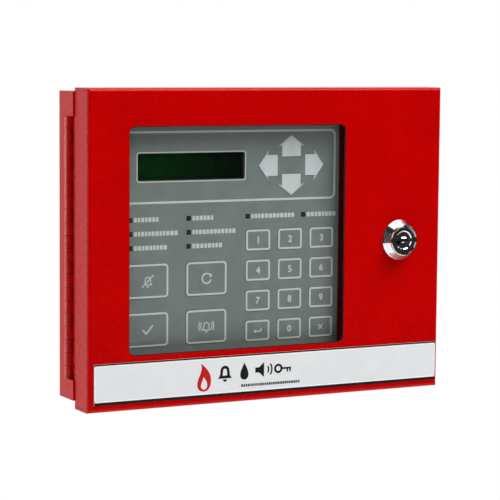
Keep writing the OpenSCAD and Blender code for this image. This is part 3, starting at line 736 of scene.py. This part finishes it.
def key_details():
    """The outline, the plateau and the figure or pictogram of every key, and the arrows' rims."""
    for node in FUNCTION_KEYS + WORD_KEYS + NUMBER_KEYS:
        outline, surface = front_outline(node)
        crest = surface - EMBOSS
        x, z = middle_of(node)
        printed(node + "_line", [border(outline, KEY_LINE)], surface, PALE_INK, node)
        if node in FUNCTION_KEYS:
            dome_z, radius = z - FUNCTION_EMBOSS_DROP, FUNCTION_EMBOSS_R
        else:
            dome_z, radius = z, NUMBER_EMBOSS_R
        edge = [(radius - inset, surface - share * EMBOSS) for inset, share in EMBOSS_EDGE]
        profile = [(radius, surface + SUNK)] + edge + [(0, crest)]
        turned(node + "_emboss", profile, [(x, dome_z)], FILM, node)
        if node in PICTOGRAMS:
            shapes, scale = PICTOGRAMS[node]
            mark = scaled(shapes, x, z, scale)
            plates(node + "_mark", mark, crest - INK, surface + SUNK, PALE_INK, node)
        else:
            name, digit = node + "_figure", node[-1]
            figure(name, digit, x, z, FIGURE_H, crest, PALE_INK, node)
    for node in ARROW_KEYS:
        outline, surface = front_outline(node)
        printed(node + "_rim", [border(outline, ARROW_LINE)], surface, PALE_INK, node)


def panel_print():
    """The frame round the display and the arrows, and the line round the display's window."""
    low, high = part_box("keypad_overlay")
    x0, x1 = low.x + PANEL_LINE_SIDE, high.x - PANEL_LINE_SIDE
    z1 = high.z - PANEL_LINE_TOP
    field = rounded((x0 + x1) / 2, z1 - PANEL_LINE_H / 2, x1 - x0, PANEL_LINE_H, PANEL_LINE_R)
    window = rounded(*middle_of("display_glass"), DISPLAY_W, DISPLAY_H, DISPLAY_R)
    edge = (grown(window, DISPLAY_LINE_OUT), grown(window, DISPLAY_LINE_IN))
    printed("panel_lines", [border(field, PANEL_LINE), edge], low.y, PALE_INK, "box")


def status_lights():
    """The lens in each light's window, and the legend beside it."""
    low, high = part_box("keypad_overlay")
    first, second = (low.x + distance for distance in LIGHT_COLUMNS_LEFT)
    third, fourth = (high.x - distance for distance in LIGHT_COLUMNS_RIGHT)
    lights = [
        (first, 0, 14.2 * MM), (first, 1, 25.5 * MM), (first, 2, 19 * MM),
        (second, 0, 13.3 * MM), (second, 1, 25.5 * MM), (second, 2, 17 * MM),
        (third, 0, 28.5 * MM), (fourth, 0, 18.5 * MM),
    ]
    words, lenses = [], []
    for x, row, length in lights:
        z = high.z - LIGHT_TOP - row * LIGHT_PITCH
        words += legend(x + LEGEND_START, z, length, LEGEND_H, LEGEND_GAP)
        lenses.append((x, z))
    printed("light_legends", words, low.y, PALE_INK, "box")
    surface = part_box("led_windows")[0].y
    profile = [(radius, surface - proud) for radius, proud in LENS_RINGS]
    turned("light_lenses", profile, lenses, RESIN, "box", 20)


def display_cells():
    """Two rows of faint character cells on the display's glass."""
    x, z = middle_of("display_glass")
    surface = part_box("display_glass")[0].y
    left = x - (CELL_COLUMNS - 1) / 2 * CELL_PITCH_X
    bottom = z - (CELL_ROWS - 1) / 2 * CELL_PITCH_Z
    width, height = CELL_PITCH_X - CELL_GAP_X, CELL_PITCH_Z - CELL_GAP_Z
    cells = [
        rounded(left + i * CELL_PITCH_X, bottom + j * CELL_PITCH_Z, width, height, CELL_R)
        for i in range(CELL_COLUMNS)
        for j in range(CELL_ROWS)
    ]
    printed("display_cells", cells, surface, CELL, "box")


def chip_legs():
    """The flat legs on all four sides of the controller chip."""
    low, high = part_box("controller_chip")
    x, z = middle_of("controller_chip")
    legs = []
    for side in range(4):
        for i in range(LEGS):
            along = (i - (LEGS - 1) / 2) * LEG_PITCH
            leg = rounded((high.x - low.x) / 2 + LEG_MIDDLE, along, LEG_L, LEG_W, LEG_R)
            legs.append(placed(leg, x, z, turn=90 * side))
    plates("chip_legs", legs, low.y, low.y + LEG_T, STEEL, "box")


# ---------- Details of the door and the box ----------

# How far the pane reaches past the window's opening, the opening's corners, and the seal's sizes
PANE_BORDER = 8 * MM
WINDOW_R = 3.6 * MM
SEAL_W = 0.45 * MM
SEAL_D = 0.9 * MM
# The lines along the name plate's top, its bottom, and round what is between them, with their corners
TOP_LINE = 0.9 * MM
BOTTOM_LINE = 1.6 * MM
WHITE_LINE = 0.7 * MM
LINE_R = 0.05 * MM
WHITE_LINE_R = 0.1 * MM
# Places on the name plate, from its middle: the flame, the row of marks and the row of blocks
FLAME_X, FLAME_SCALE = -44 * MM, 1.55
MARKS_X, MARKS_Z, MARK_PITCH = -30.5 * MM, 2 * MM, 12.5 * MM
WORDS_X, WORDS_Z = -20 * MM, -6.4 * MM
WORDS_W, WORDS_H, WORDS_GAP = 38 * MM, 1.5 * MM, 0.4 * MM
# The painted shadows in the slits at the door's corners: their distance from its front, its back, and its
# top or bottom
SLIT_FRONT = 2.2 * MM
SLIT_BACK = 0.2 * MM
SLIT_INSET = 1.6 * MM
SLIT_W = 0.25 * MM
SLIT_PROUD = 0.02 * MM
# The lips of the keyway: the depth of the recess that they stand in, how far they rise from it,
# how far from the keyway's middle they start, and how wide they are on top
PLUG_RECESS = 0.5 * MM
LIP_RISE = 0.55 * MM
LIP_START = 0.8 * MM
LIP_TOP = 0.2 * MM
# Above and below the keyway: the lip's way up or down, its left end, its right end and its height
LIPS = [(1, -1.5 * MM, 1.7 * MM, 0.95 * MM), (-1, -1.1 * MM, 2.4 * MM, 0.9 * MM)]


def on_label(name, shapes, finish):
    """Print on the name plate."""
    printed(name, shapes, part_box("name_plate")[0].y, finish, "door")


def label_print():
    """The name plate's edge lines, with pictograms where a maker would put its name."""
    low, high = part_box("name_plate")
    x, z = middle_of("name_plate")
    width, height = high.x - low.x, high.z - low.z
    top_line = rounded(x, high.z - TOP_LINE / 2, width, TOP_LINE, LINE_R)
    bottom_line = rounded(x, low.z + BOTTOM_LINE / 2, width, BOTTOM_LINE, LINE_R)
    inner_z = z + (BOTTOM_LINE - TOP_LINE) / 2
    inner = rounded(x, inner_z, width, height - TOP_LINE - BOTTOM_LINE, WHITE_LINE_R)
    on_label("label_top_line", [top_line], BLACK_INK)
    on_label("label_bottom_line", [bottom_line], BLACK_INK)
    on_label("label_white_line", [border(inner, WHITE_LINE)], WHITE_INK)
    on_label("label_flame", scaled(flame(), x + FLAME_X, z, FLAME_SCALE), RED_INK)
    marks = [(bell(1.1), 1.5), ([drop(8)], 1.25), (horn(), 1.35), (key_mark(), 1.2)]
    for i, (shapes, scale) in enumerate(marks):
        mark = scaled(shapes, x + MARKS_X + i * MARK_PITCH, z + MARKS_Z, scale)
        on_label("label_mark_%d" % (i + 1), mark, BLACK_INK)
    words = legend(x + WORDS_X, z + WORDS_Z, WORDS_W, WORDS_H, WORDS_GAP)
    on_label("label_legend", words, BLACK_INK)


def corner_slit_shadows():
    """Dark plates that paint the shadow in the fine slits where the door's turned edges meet, seen on its
    left and right sides.
    """
    low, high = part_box("door")
    y_from, y_to = low.y + SLIT_FRONT, high.y - SLIT_BACK
    sides = [(0, 1, 2, 3), (7, 6, 5, 4), (0, 4, 5, 1), (1, 5, 6, 2), (2, 6, 7, 3), (3, 7, 4, 0)]
    vertices, faces = [], []
    for x, out in ((low.x, -SLIT_PROUD), (high.x, SLIT_PROUD)):
        for z in (low.z + SLIT_INSET, high.z - SLIT_INSET):
            start = len(vertices)
            z_from, z_to = z - SLIT_W / 2, z + SLIT_W / 2
            for at_x in (x + out, x - out):
                vertices += [(at_x, y_from, z_from), (at_x, y_to, z_from),
                             (at_x, y_to, z_to), (at_x, y_from, z_to)]
            faces += [tuple(start + v for v in side) for side in sides]
    piece("door_corner_seam_shadows", vertices, faces, SEAM_SHADOW, "door")


def keyway_lips():
    """The bright lips above and below the keyway, each with a sloped outer side."""
    x, z = middle_of("lock_plug")
    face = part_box("lock_plug")[0].y + PLUG_RECESS
    crest = face - LIP_RISE
    vertices, faces = [], []
    for way, left, right, tall in LIPS:
        start = len(vertices)
        inner, outer = z + way * LIP_START, z + way * (LIP_START + tall)
        for at_x in (x + left, x + right):
            vertices += [(at_x, face, inner), (at_x, crest, inner),
                         (at_x, crest, inner + way * LIP_TOP), (at_x, face, outer)]
        for i in range(3):
            side = (start + i, start + i + 1, start + i + 5, start + i + 4)
            faces.append(side if way > 0 else side[::-1])
        ends = [(start, start + 3, start + 2, start + 1), (start + 4, start + 5, start + 6, start + 7)]
        faces += ends if way > 0 else [end[::-1] for end in ends]
    piece("keyway_lips", vertices, faces, CHROME, "lock")


def window_seal():
    """The thin black seal round the edge of the door's window, in front of the pane."""
    low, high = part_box("window_pane")
    x, z = middle_of("window_pane")
    width, height = high.x - low.x - 2 * PANE_BORDER, high.z - low.z - 2 * PANE_BORDER
    seal = border(rounded(x, z, width, height, WINDOW_R), SEAL_W)
    back = low.y - SUNK
    plates("window_seal", [seal], back - SEAL_D, back, BLACK_PLASTIC, "door")


# ---------- Stage, lights and camera ----------

# The camera's angles, its distance from the door's front, and where it aims from the door's middle
YAW, PITCH, ROLL = (math.radians(a) for a in (27.56, 5.72, 0.48))
CAMERA_DISTANCE = 1.1527
AIM_LEFT, AIM_DOWN = 12.4 * MM, 3.0 * MM
LENS_MM, SENSOR_MM = 144.3, 36.0
CLIP_START, CLIP_END = 0.05, 50
# How bright the room and the sweep are, and the directions' Y where one ends and the other starts
ROOM_STRENGTH, SWEEP_STRENGTH = 0.03, 0.85
ROOM_END, SWEEP_START = -0.1, 0.25
# The floor's distance below the object, its radius, and the size of its drifts of colour
FLOOR_DROP, FLOOR_R, FLOOR_DRIFT = 0.5, 1.7, 0.5
# Each light's azimuth and elevation, its distance, its width and height, and its power
LIGHTS = {
    "key_light": (38, 54, 1.8, 1.1, 1.1, 33),
    "fill_light": (-40, 25, 2.0, 1.2, 1.2, 5),
    "top_light": (0, 80, 1.6, 1.4, 0.8, 6),
    "edge_light": (-82, 12, 1.5, 0.12, 1.3, 2),
    "rim_light": (-128, 12, 2.0, 0.25, 1.3, 5),
}


def camera():
    """Stands to the left of the door and a little above it."""
    level_right = Vector((math.cos(YAW), -math.sin(YAW), 0))
    level_ahead = Vector((math.sin(YAW), math.cos(YAW), 0))
    ahead = level_ahead * math.cos(PITCH) - Vector((0, 0, math.sin(PITCH)))
    level_up = Vector((0, 0, math.cos(PITCH))) + level_ahead * math.sin(PITCH)
    right = level_right * math.cos(ROLL) + level_up * math.sin(ROLL)
    up = level_up * math.cos(ROLL) - level_right * math.sin(ROLL)
    door_low, door_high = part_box("door")
    target = Vector(((door_low.x + door_high.x) / 2, door_low.y, (door_low.z + door_high.z) / 2))
    place = target - right * AIM_LEFT - up * AIM_DOWN - ahead * CAMERA_DISTANCE
    data = bpy.data.cameras.new("camera")
    data.lens, data.sensor_width = LENS_MM, SENSOR_MM
    data.clip_start, data.clip_end = CLIP_START, CLIP_END
    obj = bpy.data.objects.new("camera", data)
    bpy.context.scene.collection.objects.link(obj)
    axes = Matrix((right, up, -ahead)).transposed().to_4x4()
    obj.matrix_world = Matrix.Translation(place) @ axes
    bpy.context.scene.camera = obj


def softbox(name, azimuth, elevation, distance, width, height, power):
    """A large area light that faces the object. Azimuth 0 is in front and 90 to the right."""
    a, e = math.radians(azimuth), math.radians(elevation)
    way = Vector((math.sin(a) * math.cos(e), -math.cos(a) * math.cos(e), math.sin(e)))
    data = bpy.data.lights.new(name, "AREA")
    data.shape = "RECTANGLE"
    data.size, data.size_y, data.energy = width, height, power
    obj = bpy.data.objects.new(name, data)
    bpy.context.scene.collection.objects.link(obj)
    obj.location = way * distance
    obj.rotation_euler = way.to_track_quat("Z", "Y").to_euler()
    obj.visible_camera = False


def surroundings():
    """A white sweep behind the object and a dim room in front of it. The camera sees only white."""
    world = bpy.data.worlds.new("studio")
    bpy.context.scene.world = world
    world.use_nodes = True
    nodes, links = world.node_tree.nodes, world.node_tree.links
    background = nodes["Background"]
    background.inputs["Color"].default_value = (1, 1, 1, 1)
    place = nodes.new("ShaderNodeTexCoord").outputs["Generated"]
    split = nodes.new("ShaderNodeSeparateXYZ")
    links.new(place, split.inputs["Vector"])
    backward = split.outputs["Y"]
    strength = map_range(nodes, links, backward, ROOM_STRENGTH, SWEEP_STRENGTH, ROOM_END, SWEEP_START)
    seen = nodes.new("ShaderNodeLightPath").outputs["Is Camera Ray"]
    brightest = nodes.new("ShaderNodeMath")
    brightest.operation = "MAXIMUM"
    links.new(seen, brightest.inputs[0])
    links.new(strength, brightest.inputs[1])
    links.new(brightest.outputs["Value"], background.inputs["Strength"])


def floor():
    """A pale round floor, well below the object."""
    mesh = bpy.data.meshes.new("floor")
    rim = [(x, y, cad_low.z - FLOOR_DROP) for x, y in arc(0, 0, FLOOR_R, 0, 360, 96)[:-1]]
    mesh.from_pydata(rim, [], [tuple(range(len(rim)))])
    f = Finish("floor_paint", (0.9, 0.9, 0.9), 0.7, Emission_Color=(1, 1, 1, 1), Emission_Strength=0.3)
    f.mottled((0.88, 0.88, 0.88), (0.92, 0.92, 0.92), FLOOR_DRIFT)
    mesh.materials.append(f.material)
    obj = bpy.data.objects.new("floor", mesh)
    bpy.context.scene.collection.objects.link(obj)


def studio():
    surroundings()
    floor()
    for name, values in LIGHTS.items():
        softbox(name, *values)
    bpy.context.scene.view_settings.view_transform = "Standard"


finish_nodes()
key_details()
panel_print()
status_lights()
display_cells()
chip_legs()
label_print()
corner_slit_shadows()
window_seal()
keyway_lips()
studio()
camera()
